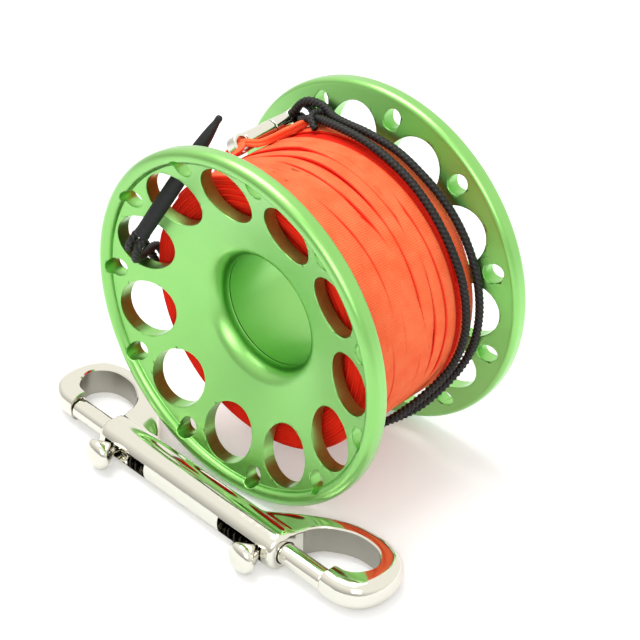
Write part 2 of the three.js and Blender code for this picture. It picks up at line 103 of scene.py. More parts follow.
def put_in_scene(name, mesh, material, body, stands_for=()):
    """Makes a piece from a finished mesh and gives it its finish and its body."""
    mesh.name = name
    piece = bpy.data.objects.new(name, mesh)
    bpy.context.scene.collection.objects.link(piece)
    piece.data.materials.append(material)
    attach(piece, body)
    if stands_for:
        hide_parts(*stands_for)
    return piece


def to_mesh(bm, smooth_to=32, place=to_row):
    """A mesh in the row frame from a bmesh in millimetres, shaded smooth up to an angle."""
    bmesh.ops.transform(bm, matrix=place, verts=bm.verts)
    bmesh.ops.recalc_face_normals(bm, faces=bm.faces)
    mesh = bpy.data.meshes.new("piece")
    bm.to_mesh(mesh)
    bm.free()
    mesh.shade_smooth()
    mesh.set_sharp_from_angle(angle=math.radians(smooth_to))
    return mesh


# %% [markdown]
# ## Materials
# Each finish starts from what the real one is, and one small function adds a node with its
# settings and links. Colours are written as sRGB hex, as a paint chart would give them.

# %% Colours and nodes
def linear(hex_colour):
    """An sRGB hex colour as linear RGBA."""
    parts = [int(hex_colour[i : i + 2], 16) / 255 for i in (1, 3, 5)]
    return [c / 12.92 if c <= 0.04045 else ((c + 0.055) / 1.055) ** 2.4 for c in parts] + [1.0]


def add(tree, kind, inputs=None, **settings):
    """Adds a node; an input is given a value, or is linked to a socket."""
    made = tree.nodes.new("ShaderNode" + kind)
    for key, value in settings.items():
        setattr(made, key, value)
    for key, value in (inputs or {}).items():
        if isinstance(value, bpy.types.NodeSocket):
            tree.links.new(value, made.inputs[key])
        else:
            made.inputs[key].default_value = value
    return made


def new_material(name):
    """A material with an empty tree and its output."""
    material = bpy.data.materials.new(name)
    material.use_nodes = True
    tree = material.node_tree
    tree.nodes.clear()
    return material, tree, add(tree, "OutputMaterial")


def tones(tree, factor, low, high, low_colour, high_colour):
    """Two colours spread over a range of a pattern's values."""
    ramp = add(tree, "ValToRGB", {"Fac": factor})
    for stop, place, colour in zip(ramp.color_ramp.elements, (low, high), (low_colour, high_colour)):
        stop.position = place
        stop.color = linear(colour)
    return ramp.outputs["Color"]


def blotches(tree, place, scale, detail):
    """A soft random pattern."""
    return add(tree, "TexNoise", {"Vector": place, "Scale": scale, "Detail": detail}).outputs["Fac"]


def calc(tree, operation, *values):
    """One sum, with numbers or sockets."""
    return add(tree, "Math", dict(enumerate(values)), operation=operation).outputs[0]


def spread(tree, value, low, high, to_low, to_high):
    """A value carried from one range over to another."""
    return add(tree, "MapRange", {
        "Value": value, "From Min": low, "From Max": high, "To Min": to_low, "To Max": to_high,
    }).outputs["Result"]


def add_surface(tree, output, pattern, strength, depth, inputs):
    """Gives a material its shader, with a pattern as its relief."""
    bump = add(tree, "Bump", {"Height": pattern, "Strength": strength, "Distance": depth})
    shader = add(tree, "BsdfPrincipled", {**inputs, "Normal": bump.outputs["Normal"]})
    tree.links.new(shader.outputs["BSDF"], output.inputs["Surface"])


# %% [markdown]
# ## Anodised aluminium
# Turned aluminium is blasted to a satin, then dyed green in the oxide that the bath grows on it.
# The metal still shows through, so it reflects in green, softly, with a fine grain from the blast.

# %% Anodised aluminium, satin green
def make_anodised():
    material, tree, output = new_material("anodised aluminium, satin green")
    place = add(tree, "TexCoord").outputs["Object"]
    grit = blotches(tree, place, 3200.0, 2.0)
    colour = tones(tree, blotches(tree, place, 60.0, 3.0), 0.3, 0.7, "#86CB66", "#8CD06C")
    add_surface(tree, output, grit, 0.12, 0.00005, {
        "Base Color": colour,
        "Metallic": 1.0,
        "Roughness": spread(tree, grit, 0.3, 0.7, 0.30, 0.38),
        "Coat Weight": 0.8,
        "Coat Roughness": 0.28,
        "Coat IOR": 1.6,
    })
    return material


anodised = make_anodised()


# %% [markdown]
# ## Braided line
# The line is a flat braid of bright orange yarn. Its own UV map runs in millimetres, along the
# line and across it, so the braid's small ribs lie straight across every turn. Its edges are painted
# a deeper red: partly the braid's denser edge, partly painted shade for the creases between strips.

# %% Flat braided line, orange
rib_pitch = 0.6
# Toward the strip's edge the colour goes to a deep red: partly the braid's denser edge, partly painted crease shade.
edge_shade_from, edge_shade_to = 1.2, 1.7


def make_line():
    material, tree, output = new_material("flat braided line, orange")
    uv = add(tree, "UVMap", uv_map="run").outputs["UV"]
    split = add(tree, "SeparateXYZ", {"Vector": uv})
    wave = calc(tree, "SINE", calc(tree, "MULTIPLY", split.outputs["X"], 2 * math.pi / rib_pitch))
    # The edge mask: painted shade for the creases between strips, and the braid's denser edge.
    edge = spread(tree, calc(tree, "ABSOLUTE", split.outputs["Y"]), edge_shade_from, edge_shade_to, 0.0, 1.0)
    place = add(tree, "TexCoord").outputs["Object"]
    height = calc(tree, "MULTIPLY_ADD", wave, 0.5, blotches(tree, place, 1500.0, 2.0))
    shade = calc(tree, "MULTIPLY_ADD", wave, 0.16, blotches(tree, place, 180.0, 2.0))
    flat = tones(tree, shade, 0.25, 0.75, "#F86237", "#FD7A4C")
    colour = add(tree, "Mix", {0: edge, 6: flat, 7: linear("#E4210C")}, data_type="RGBA")
    add_surface(tree, output, height, 0.6, 0.00012, {
        "Base Color": colour.outputs[2],
        "Roughness": 0.75,
        "Specular IOR Level": 0.15,
    })
    return material


line_finish = make_line()


# %% [markdown]
# ## Polished stainless steel
# The snap and the swivel are cast or turned, then polished on a wheel. The polish is nearly a
# mirror, and the casting under it is never quite flat, which bends what it reflects. The wheel
# doesn't reach into the hooks' loops, whose walls stay rougher and a darker grey: partly the duller
# cast finish, partly painted shade on walls that face into the loops. The spring's wire is painted
# dark, as painted shade for the inside of the tube.

# %% Polished stainless steel
def make_steel(name, colour, smooth, dull, grain):
    material, tree, output = new_material(name)
    place = add(tree, "TexCoord").outputs["Object"]
    add_surface(tree, output, blotches(tree, place, 160.0, 1.0), 0.15, 0.0003, {
        "Base Color": linear(colour),
        "Metallic": 1.0,
        "Roughness": spread(tree, blotches(tree, place, grain, 3.0), 0.3, 0.7, smooth, dull),
    })
    return material


steel = make_steel("polished stainless steel", "#E0DED4", 0.06, 0.13, 700.0)
# Darker grey for the loops' walls: partly the duller cast finish, partly painted shade.
cast_steel_and_shade = make_steel("stainless steel, as cast, darker as painted shade", "#A8A59C", 0.32, 0.45, 1500.0)
# The spring's dark colour is painted shade, so that it sinks into the dark inside the tube.
spring_in_painted_shade = make_steel("spring wire, dark as painted shade", "#4E4A45", 0.35, 0.5, 1500.0)


# %% [markdown]
# ## Black cord and soft black toggle
# The cord is braided from matt black yarn, whose lumps carry their own height as an attribute and
# are painted paler where they stand out, as a painted highlight on their tops. The toggle is a soft
# moulded plastic with a faint haze.

# %% Black yarn and soft plastic
def make_black(name, colour, pale, roughness, grain, depth, pattern=None):
    material, tree, output = new_material(name)
    place = add(tree, "TexCoord").outputs["Object"]
    specks = blotches(tree, place, grain, 3.0)
    # With a pattern, the colour follows the lumps' height, as a painted highlight on their tops; without one, it
    # follows random specks.
    shown = add(tree, "Attribute", attribute_name=pattern).outputs["Fac"] if pattern else specks
    shade = tones(tree, shown, 0.35, 0.85 if pattern else 0.7, colour, pale)
    add_surface(tree, output, specks, 0.4, depth, {
        "Base Color": shade,
        "Roughness": roughness,
        "Specular IOR Level": 0.35,
    })
    return material


# The cord's paler tone is a painted highlight on its lumps' tops.
cord_finish = make_black("braided cord, black yarn", "#050506", "#2C2B29", 0.55, 2600.0, 0.00006, "pick")
toggle_finish = make_black("soft moulded plastic, black", "#161618", "#1E1E20", 0.55, 900.0, 0.00003)

# %% [markdown]
# ## Flanges
# Each flange is turned on a lathe: a rounded lip, a web that dishes in to the bore, and a rounded
# mouth. So its outline is spun round the axis, and the two rings of holes are drilled through it.
# A drill leaves a sharp edge, which is broken by a small bevel, as on the real one.

# %% The flange's outline
flange_r = 45.0
rim_edge_r = 1.5
web = 3.7
dish_angle = 18.4
dish = math.tan(math.radians(dish_angle))
bore_r = 14.5
mouth_fillet = 5.3
mouth_from = 18.1
bore_land, seat_depth = 0.5, 3.3
bead_in = flange_r - 2 * bead_r
collar_in = 17.05
hub_r = 19.0
mouth_r = bore_r + mouth_fillet
mouth_y = dish * (bead_in - mouth_r) + mouth_fillet / math.cos(math.radians(dish_angle))
seat_y = mouth_y + bore_land
collar_y = seat_y + seat_depth
flange_spacing = 51.1


def arc(r, y, radius, start, end, parts):
    """Points of an arc in the plane of radius and Y."""
    angles = [math.radians(start + (end - start) * i / parts) for i in range(parts + 1)]
    return [(r + radius * math.cos(a), y + radius * math.sin(a)) for a in angles]


def outer_face(r):
    return dish * (bead_in - r)


def inner_face(r):
    return outer_face(r) + web


def web_points(face, start, end, parts=12):
    """Points along a face of the web, so that its facets stay small beside the holes."""
    radii = [start + (end - start) * i / parts for i in range(1, parts)]
    return [(r, face(r)) for r in radii]


flange_outline = [
    *arc(mouth_r, mouth_y, mouth_fillet, 270 - dish_angle, 180, 20),
    (bore_r, seat_y), (collar_in, seat_y), (collar_in, collar_y), (hub_r, collar_y),
    (hub_r, inner_face(hub_r)), *web_points(inner_face, hub_r, flange_r - rim_edge_r),
    *arc(flange_r - rim_edge_r, inner_face(flange_r - rim_edge_r) - rim_edge_r, rim_edge_r, 90, 0, 8),
    *arc(flange_r - bead_r, 0.0, bead_r, 0, -180, 20), *web_points(outer_face, bead_in, mouth_from),
]


def spun(outline, steps, closed=True):
    """An outline of radius and Y, spun once round the axis. One that isn't closed runs from axis to axis."""
    bm = bmesh.new()
    verts = [bm.verts.new((r, y, 0)) for r, y in outline]
    edges = [bm.edges.new(pair) for pair in zip(verts, verts[1:] + (verts[:1] if closed else []))]
    bmesh.ops.spin(bm, geom=verts + edges, cent=(0, 0, 0), axis=(0, 1, 0), angle=2 * math.pi,
                   steps=steps, use_merge=True, use_duplicate=False)
    bmesh.ops.remove_doubles(bm, verts=bm.verts, dist=1e-4)
    bmesh.ops.recalc_face_normals(bm, faces=bm.faces)
    return bm


# %% Drill the holes and break their edges
hole_count = 11
hole_step = 360 / hole_count
hole_phase = 162.216
large_hole_at, large_hole_r = 33.3, 7.34
small_hole_at, small_hole_r = 39.9, 2.4
broken_edge, drill_length = 0.22, 40
holes = [(hole_phase + hole_step * i, large_hole_at, large_hole_r, 64) for i in range(hole_count)]
holes += [(hole_phase + hole_step * (i + 0.5), small_hole_at, small_hole_r, 32) for i in range(hole_count)]


def temporary(bm, name):
    """A hidden helper object from a bmesh, for a modifier to read."""
    mesh = bpy.data.meshes.new(name)
    bm.to_mesh(mesh)
    bm.free()
    helper = bpy.data.objects.new(name, mesh)
    bpy.context.scene.collection.objects.link(helper)
    return helper


def with_modifiers(helper, *others):
    """The helper's mesh with its modifiers applied; the helpers are then removed."""
    bpy.context.view_layer.update()
    depsgraph = bpy.context.evaluated_depsgraph_get()
    mesh = bpy.data.meshes.new_from_object(helper.evaluated_get(depsgraph))
    for spare in (helper, *others):
        bpy.data.objects.remove(spare)
    return mesh


def from_mesh(mesh, place=to_row, smooth_to=32):
    """A finished mesh from one in millimetres."""
    bm = bmesh.new()
    bm.from_mesh(mesh)
    bpy.data.meshes.remove(mesh)
    return to_mesh(bm, smooth_to, place)


def add_round(bm, radius, length, place, sides):
    """Adds a round bar, which stands along Z until it is put in place."""
    bmesh.ops.create_cone(bm, cap_ends=True, segments=sides, radius1=radius, radius2=radius, depth=length,
                          matrix=place)


def flange_mesh(mirrored):
    """A flange that is spun, drilled and has its edges broken. The rear one mirrors the front one."""
    drills = bmesh.new()
    for angle, circle, radius, sides in holes:
        upright = Matrix.Translation(around(angle, circle, 8)) @ Matrix.Rotation(math.pi / 2, 4, "X")
        add_round(drills, radius, drill_length, upright, sides)
    disc, cutter = temporary(spun(flange_outline, 220), "disc"), temporary(drills, "drills")
    cut = disc.modifiers.new("drill", "BOOLEAN")
    cut.object, cut.operation, cut.solver = cutter, "DIFFERENCE", "EXACT"
    edge = disc.modifiers.new("edge", "BEVEL")
    edge.width, edge.segments, edge.limit_method = broken_edge, 2, "ANGLE"
    edge.angle_limit, edge.use_clamp_overlap = math.radians(50), False
    mirror = Matrix.Translation((0, flange_spacing, 0)) @ Matrix.Scale(-1, 4, (0, 1, 0))
    return from_mesh(with_modifiers(disc, cutter), to_row @ mirror if mirrored else to_row)


for name, node, mirrored in (("flange_front", "front_flange", False), ("flange_rear", "rear_flange", True)):
    piece = put_in_scene(name, flange_mesh(mirrored), anodised, "spool", [node])
    even = piece.modifiers.new("even shading", "WEIGHTED_NORMAL")
    even.keep_sharp = True
    print(name, len(piece.data.polygons), "faces")

# %% Hub tube
seat_gap, fit = 0.15, 0.3
hub_end, hub_shoulder, spigot_r = seat_y + seat_gap, collar_y + fit, collar_in - fit
hub_half = [
    (bore_r, hub_end), (spigot_r, hub_end), (spigot_r, hub_shoulder), (hub_r, hub_shoulder),
]
hub_outline = hub_half + [(r, flange_spacing - y) for r, y in reversed(hub_half)]
put_in_scene("hub", to_mesh(spun(hub_outline, 176)), anodised, "spool", ["hub_tube"])

# %% [markdown]
# ## Wound line
# The line was wound by hand, so its strips lie slantwise and cross each other. A grid of heights
# over the winding stands for what already lies there. Each strip is laid on it in turn, settles on
# what is under it, and then raises the grid. The last strips are the ones that show.

# %% The heights of what is wound so far
strip_width = 3.85
strip_thick = 0.62
first_r = 33.8
rows_per_mm = 4
heights = [[first_r] * int(flange_spacing * rows_per_mm) for _ in range(360)]


def height_at(angle, y):
    row = max(0, min(len(heights[0]) - 1, int(y * rows_per_mm)))
    return heights[int(angle) % 360][row]


def eased(values, reach):
    """A running average over neighbours on both sides."""
    count = len(values)
    return [sum(values[max(0, i - reach) : i + reach + 1]) / len(values[max(0, i - reach) : i + reach + 1])
            for i in range(count)]


def between(points, angle):
    """A smooth curve through rows of an angle and a value, read at an angle."""
    for i in range(len(points) - 1):
        (a0, v0), (a1, v1) = points[i], points[i + 1]
        if a0 >= angle >= a1:
            before = points[i - 1] if i else points[i]
            after = points[i + 2] if i + 2 < len(points) else points[i + 1]
            span = a1 - a0
            slope0 = (v1 - before[1]) / (a1 - before[0]) * span
            slope1 = (after[1] - v0) / (after[0] - a0) * span
            t = (angle - a0) / span
            return (v0 * (2 * t**3 - 3 * t**2 + 1) + slope0 * (t**3 - 2 * t**2 + t)
                    + v1 * (3 * t**2 - 2 * t**3) + slope1 * (t**3 - t**2))
    return points[-1][1]


# %% Lay strips on the grid
across_shares = [-1, -0.97, -0.89, -0.72, -0.4, 0, 0.4, 0.72, 0.89, 0.97, 1]
under_shares = [0.95, 0.35, -0.35, -0.95]
middle_lane = len(across_shares) // 2
lift = 0.06
eased_over = 3


def crown(share):
    """The strip's upper side: nearly flat, and rounded over at its two edges."""
    return strip_thick * (0.48 + 0.52 * (1 - abs(share) ** 5) ** 0.5)


def lay_strip(points, step):
    """Rings of one strip along its path, which settles on what lies under it."""
    angles = []
    angle = points[0][0]
    while angle >= points[-1][0]:
        angles.append(angle)
        angle -= step
    middles = [between(points, a) for a in angles]
    lanes, tight_lanes = [], []
    for share in across_shares:
        lane = [height_at(a, y + share * strip_width / 2) for a, y in zip(angles, middles)]
        lane = [max(lane[max(0, i - 1) : i + 2]) for i in range(len(lane))]
        tight_lanes.append(lane)
        lanes.append(eased(lane, max(1, round(eased_over / step))))
    rings = []
    for i, (angle, y) in enumerate(zip(angles, middles)):
        ground = [max(even, tight[i]) for even, tight in zip(eased([lane[i] for lane in lanes], 1), tight_lanes)]
        upper = [(y + s * strip_width / 2, g + crown(s)) for s, g in zip(across_shares, ground)]
        lower = [(y + s * strip_width / 2, ground[round((s + 1) * middle_lane)] + lift) for s in under_shares]
        rings.append((angle, upper, lower))
        for (y0, r0), (y1, r1) in zip(upper, upper[1:]):
            for row in range(int(y0 * rows_per_mm), int(y1 * rows_per_mm) + 1):
                share = max(0.0, min(1.0, (row / rows_per_mm - y0) / (y1 - y0)))
                for column in range(int(angle - step), int(angle) + 1):
                    lane = heights[column % 360]
                    if 0 <= row < len(lane):
                        lane[row] = max(lane[row], r0 + (r1 - r0) * share)
    return rings


# %% The paths of the strips
# One set runs square under the others.
under_pitch = 4.5


def square_turns(start, turns, lean):
    """Rows of a path that winds square, with a slight waver."""
    rows = []
    for turn in range(turns):
        base = start + under_pitch * turn
        rows += [(a - 360 * turn, base + lean * math.sin(math.radians(a * 2 + 70 * turn)))
                 for a in range(140, -220, -20)]
    return rows


# What shows on top, in the order in which it was wound. Each row is an angle and a place along
# the axis. The angles run down from about 139 to -40, over the side that the camera sees, and each
# strip then steps over to the next on the far side.
shown_rows = [
    [(139, 43.3), (118, 43.4), (60, 43.4), (0, 43.5), (-35, 43.3)],
    [(139, 41.0), (118, 41.2), (60, 41.6), (0, 42.0), (-35, 41.8)],
    [(139, 33.6), (118, 33.9), (92, 34.4), (60, 35.4), (0, 36.6), (-35, 36.2)],
    [(139, 42.8), (118, 42.9), (60, 43.1), (0, 43.3), (-35, 43.2)],
    [(138, 29.4), (118, 30.4), (92, 31.0), (60, 31.2), (37, 32.2), (26, 32.4), (14, 32.6), (2, 32.7), (-9, 32.2),
     (-21, 31.4), (-35, 30.4)],
    [(118, 19.0), (60, 20.0), (37, 21.2), (26, 21.9), (14, 22.3), (2, 22.9), (-9, 23.5), (-21, 24.4), (-35, 25.2)],
    [(118, 12.2), (60, 12.4), (26, 13.6), (2, 14.4), (-15, 15.2), (-35, 15.4)],
    [(118, 10.7), (92, 10.7), (60, 10.5), (42, 10.5), (10, 10.5), (-35, 10.5)],
    [(118, 13.8), (92, 14.4), (77, 14.2), (60, 14.2), (43, 15.2), (26, 15.9), (12, 16.4), (2, 17.4), (-20, 19.0),
     (-35, 19.6)],
    [(118, 14.6), (92, 14.6), (78, 14.0), (60, 13.3), (49, 12.3), (42, 11.6), (26, 12.0), (12, 12.7), (-3, 12.2),
     (-15, 11.9), (-35, 11.5)],
    [(118, 15.0), (105, 16.6), (95, 18.4), (80, 19.5), (56, 20.4), (45, 20.9), (20, 21.4), (-35, 22.0)],
    [(118, 15.5), (92, 16.0), (77, 16.4), (68, 17.0), (49, 18.3), (28, 19.0), (14, 18.7), (2, 19.0), (-9, 19.6),
     (-21, 20.2), (-35, 21.0)],
    [(118, 18.6), (105, 20.4), (95, 22.2), (80, 23.3), (56, 24.2), (45, 24.7), (20, 24.6), (-35, 24.0)],
    [(118, 21.6), (105, 24.2), (100, 25.4), (92, 27.0), (81, 27.9), (60, 28.1), (26, 28.2), (0, 28.2), (-35, 28.4)],
    [(138, 31.8), (118, 33.3), (92, 33.9), (76.5, 33.6), (49, 31.6), (37, 30.4), (26, 29.3), (12, 28.9), (0, 28.3),
     (-12, 27.4), (-35, 26.4)],
    [(118, 14.4), (95, 15.8), (77, 17.5), (60, 19.3), (49, 21.1), (37, 22.5), (20, 24.3), (2, 26.1), (-9, 27.2),
     (-21, 28.5), (-40, 30.0)],
    [(138, 27.2), (128, 27.5), (118, 28.6), (107, 30.3), (92, 32.8), (78, 34.6), (60, 35.2), (49, 35.4), (26, 36.0),
     (2, 36.6), (-15, 36.5), (-35, 36.0)],
    [(138, 26.2), (128, 26.6), (118, 27.8), (107, 29.7), (92, 32.4), (80, 34.0), (69.7, 34.8), (49, 35.2), (26, 35.9),
     (2, 36.5), (-9, 36.1), (-21, 35.4), (-30, 32.6), (-40, 31.6)],
]
shown_path = [(a - 360 * turn, y) for turn, rows in enumerate(shown_rows) for a, y in rows]
shown_path += [(a - 360 * (len(shown_rows) - 1), y) for a, y in [(-90, 33.0), (-150, 32.0), (-200, 31.4)]]

under = lay_strip(square_turns(start=10.9, turns=8, lean=0.15), step=4.0)
shown = lay_strip(shown_path, step=1.5)
print("rings laid:", len(under), "under and", len(shown), "that show")


# %% Skin the strips
def wound_rings(course, deep=False):
    """A laid course as rings of points, each with its distance from the strip's middle.

    A deep course only shows in the gaps, so all of it takes the edges' deep red, as painted shade for the gaps."""
    for angle, upper, lower in course:
        middle = (upper[0][0] + upper[-1][0]) / 2
        yield [(around(angle, r, y), strip_width / 2 if deep else y - middle) for y, r in upper + lower]


def free_rings(rows, thick=strip_thick, step=0.5):
    """Rings of a strip that leaves the winding: rows of an angle, a radius, a Y and a width."""
    path = smooth_path([Vector((*around(angle, radius, y), width)) for angle, radius, y, width in rows], step)
    section = [(1, -0.3), (1, 0.3), (0.9, 0.85), (0.7, 1), (0, 1), (-0.7, 1), (-0.9, 0.85), (-1, 0.3), (-1, -0.3),
               (-0.8, -1), (0, -1), (0.8, -1)]
    for i, here in enumerate(path):
        along = (path[min(i + 1, len(path) - 1)] - path[max(i - 1, 0)]).xyz.normalized()
        out = Vector((here.x, 0, here.z)).normalized()
        out = (out - along * out.dot(along)).normalized()
        across = along.cross(out)
        yield [(here.xyz + across * (a * here.w / 2) + out * (o * thick / 2), a * here.w / 2)
               for a, o in section]


middle_point = 4


def strip_mesh(strips):
    """One mesh of strips, each a closed tube with its run and its breadth as a UV map in millimetres."""
    bm = bmesh.new()
    uv = bm.loops.layers.uv.new("run")
    for rings in strips:
        rows, last, run = [], None, 0.0
        for ring in rings:
            centre = ring[middle_point][0]
            run += (centre - last).length if last else 0.0
            last = centre
            rows.append(([bm.verts.new(point) for point, _ in ring], run, [off for _, off in ring]))
        for (a, run_a, off_a), (b, run_b, off_b) in zip(rows, rows[1:]):
            for j in range(len(a)):
                k = (j + 1) % len(a)
                face = bm.faces.new((a[j], a[k], b[k], b[j]))
                for loop, at in zip(face.loops, ((run_a, off_a[j]), (run_a, off_a[k]), (run_b, off_b[k]),
                                                 (run_b, off_b[j]))):
                    loop[uv].uv = at
        bm.faces.new(list(reversed(rows[0][0])))
        bm.faces.new(rows[-1][0])
    return to_mesh(bm, 60)


# %% The line's end in the swivel's eye
# It climbs over the turns on the far side, goes through the eye and lies down again. Two more
# runs of it come from under the cord's knot and lead into the same eye, one on the other.
tail = [
    (-72, 34.9, 37.5, 4.1), (-84, 35.8, 37.4, 4.1), (-96, 36.8, 37.1, 4.1), (-125, 36.8, 34.8, 4.1),
    (-155, 36.8, 31.6, 4.1), (-185, 36.8, 28.5, 4.1), (-200, 36.8, 27.2, 3.8), (-209, 36.9, 26.6, 3.0),
    (-217, 37.3, 26.4, 2.2), (-224, 38.2, 26.4, 2.0), (-229, 38.5, 26.4, 1.9), (-232.6, 38.45, 26.3, 1.9),
    (-234.4, 38.1, 25.8, 2.2), (-235.3, 37.4, 24.9, 2.8), (-235.8, 36.7, 23.4, 3.3), (-236.2, 36.4, 21.2, 3.6),
    (-236.6, 36.3, 18.0, 3.6), (-237, 36.2, 14.6, 3.6),
]
run_thick = 0.95
runs_to_eye = [
    [(117.6, 35.8, 45.0, 3.0), (118.6, 35.8, 42.0, 3.0), (120.4, 35.7, 37.0, 3.0), (121.6, 35.7, 32.0, 2.9),
     (122.6, 36.0, 29.0, 2.5), (124.4, 37.1, 27.4, 2.0), (127.0, 37.9, 26.7, 1.7), (129.5, 38.1, 26.5, 1.7)],
    [(117.2, 36.7, 45.0, 2.8), (118.2, 36.7, 42.0, 2.8), (119.8, 36.6, 37.0, 2.8), (121.0, 36.6, 32.0, 2.6),
     (122.2, 36.9, 29.2, 2.2), (124.2, 37.9, 27.6, 1.9), (127.0, 38.7, 26.9, 1.6), (129.5, 38.9, 26.6, 1.6)],
]
strips = [wound_rings(under, True), wound_rings(shown), free_rings(tail)]
strips += [free_rings(rows, run_thick) for rows in runs_to_eye]
wound = put_in_scene("wound_line", strip_mesh(strips), line_finish, "spool",
                     ["line_outer_turns", "line_core"])
print("wound line:", len(wound.data.polygons), "faces")

# %% [markdown]
# ## The winding's sides
# Through the flanges' holes the edges of the lower layers show, as rings one strip's thickness
# apart. A ridged outline is spun, and each ridge is then moved a little in and out, because no
# hand lays two layers alike.

# %% The edges of the lower layers
layer_pitch = 0.75
side_y, side_clear = 8.7, 0.9
side_from, side_to = hub_r + 0.35, first_r + 0.4
ridge_deep, ridge_shallow = 0.28, 0.06
side_waver = 0.45


def side_outline():
    """The winding's core with one ridge for each layer on both of its sides."""
    front = []
    r = side_from
    while r < side_to:
        least = max(side_y, inner_face(r) + side_clear)
        front += [(r, least + ridge_deep), (r + layer_pitch * 0.22, least + ridge_shallow),
                  (r + layer_pitch * 0.5, least), (r + layer_pitch * 0.78, least + ridge_shallow)]
        r += layer_pitch
    return front + [(r, flange_spacing - y) for r, y in reversed(front)]


side = spun(side_outline(), 180)
for vert in side.verts:
    r = math.hypot(vert.co.x, vert.co.z)
    a = math.atan2(vert.co.z, vert.co.x)
    layer = int((r - side_from) / layer_pitch + 0.01)
    rear = vert.co.y > flange_spacing / 2
    shift = noise.noise(Vector((math.cos(a) * 1.6, math.sin(a) * 1.6, layer * 2.7 + 40 * rear)))
    if r < first_r:
        vert.co.y += side_waver * shift * (-1 if rear else 1)
core = put_in_scene("line_layers", to_mesh(side, 60), line_finish, "spool")
run = core.data.uv_layers.new(name="run")
# Every corner reads as a strip's edge, so the winding's sides take the deep red: painted shade for the line between
# the flanges and the winding.
for corner in run.data:
    corner.uv = (0.0, strip_width / 2)

# %% [markdown]
# ## Leash cord
# A thin black cord, doubled, runs from the toggle round the winding to the swivel. It is a round
# braid, so its tube carries two families of small ridges that wind opposite ways. Both ends reach
# 6 mm into the toggle, which slides 4 mm along them.

# %% The cord's route
# Each row is an angle, a height above the winding and a place along the axis.
cord_r = 1.05
winding_r = 35.3
cord_route = [
    [140.4, -2.13, -0.64], [146.7, -3.05, -2.88], [149.4, -2.8, -3.72],
    [152.66, -3.12, -4.85], [157.6, -2.8, -4.2], [161.8, -1.1, -1.3],
    [165.2, 0.1, 2.1], [168.6, 1.5, 5.4], [173.4, 2.8, 8.3], [181, 2.4, 10.7],
    [190, 1.8, 12.8], [203, 1.6, 14.5], [216, 1.6, 15.8], [229, 1.6, 17.1],
    [242, 1.6, 18.3], [255, 1.6, 19.6], [268, 1.6, 20.9], [281, 1.6, 22.2],
    [294, 1.6, 23.4], [305, 1.6, 24.6], [313, 1.6, 26.1], [320, 1.6, 28.7],
    [327, 1.6, 32.2], [334, 1.6, 35.9], [342, 1.6, 38.4], [353, 1.6, 39.6],
    [365, 1.6, 39.6], [378, 1.6, 39.3], [391, 1.6, 38.8], [404, 1.6, 38.6],
    [417, 1.6, 38.6], [430, 1.6, 38.5], [443, 1.6, 38.7], [455, 1.7, 39.3],
    [462, 1.8, 40.2], [468, 1.9, 41.3], [474, 1.8, 42.2], [479, 1.7, 43.2],
    [482.5, 1.9, 44.6], [485.2, 2.2, 46.4], [487.8, 2.4, 47.6], [489.8, 2.6, 47.4],
    [490.8, 2.9, 46.3], [490.0, 3.2, 45.0], [488, 3.4, 44.6], [486.6, 3.7, 44.6],
    [484.6, 4.3, 44.8], [482, 5.0, 45.0], [479, 5.5, 45.1], [476, 5.5, 45.1],
    [472, 4.7, 45.0], [469, 3.8, 44.8], [466.6, 2.9, 44.4], [464, 2.2, 43.6],
    [460, 1.9, 42.6], [454, 1.7, 41.9], [443, 1.6, 41.9],
    [430, 1.6, 42.5], [417, 1.6, 42.8], [404, 1.6, 43.6], [391, 1.6, 44.1],
    [378, 1.6, 44.4], [365, 1.6, 44.5], [353, 1.6, 44.5], [342, 1.6, 44.2],
    [334, 1.9, 42.3], [327, 2.4, 38.4], [320, 2.7, 34.2], [313, 2.4, 30.9],
    [305, 1.9, 28.2], [294, 1.6, 26.3], [281, 1.6, 24.7], [268, 1.6, 23.4],
    [255, 1.6, 22.1], [242, 1.6, 20.8], [229, 1.6, 19.6], [216, 1.6, 18.3],
    [203, 1.6, 17.0], [190, 1.6, 15.4], [181, 1.7, 13.3], [173.9, 1.4, 10.6],
    [170.5, -0.3, 6.0], [168.4, -2.2, 2.2], [164.8, -3.7, -1.2], [160.2, -5.5, -4.1],
    [151.96, -5.65, -4.85], [148.43, -5.31, -3.72], [146.1, -4.42, -2.88], [139.8, -3.09, -0.64],
]


def frames_along(path):
    """The direction and two square directions at each point, turning as little as possible."""
    side = None
    for i, here in enumerate(path):
        along = (path[min(i + 1, len(path) - 1)] - path[max(i - 1, 0)]).normalized()
        side = along.orthogonal().normalized() if side is None else (side - along * side.dot(along)).normalized()
        yield here, along, side, along.cross(side)


def skin(bm, rings):
    """Joins rings of vertices into a closed tube."""
    for a, b in zip(rings, rings[1:]):
        for j in range(len(a)):
            k = (j + 1) % len(a)
            bm.faces.new((a[j], a[k], b[k], b[j]))
    bm.faces.new(list(reversed(rings[0])))
    bm.faces.new(rings[-1])


braid_step, braid_sides, pick_length, relief = 0.24, 18, 1.25, 0.3


def add_braid(bm, path, radius):
    """Adds a round braid along a path: rows of leaning lumps, whose height its finish reads as well, for a painted
    highlight on their tops.
    """
    lump_highlight = bm.verts.layers.float.get("pick") or bm.verts.layers.float.new("pick")
    step = (path[1] - path[0]).length
    rings = []
    for i, (here, _, u, v) in enumerate(frames_along(path)):
        ring = []
        phase = 2 * math.pi * i * step / pick_length
        for j in range(braid_sides):
            a = 2 * math.pi * j / braid_sides
            lump = 0.5 + 0.34 * math.cos(3 * a + phase) + 0.16 * math.cos(3 * a - phase)
            r = radius * (1 - relief + relief * lump)
            vert = bm.verts.new(here + u * (r * math.cos(a)) + v * (r * math.sin(a)))
            vert[lump_highlight] = lump
            ring.append(vert)
        rings.append(ring)
    skin(bm, rings)


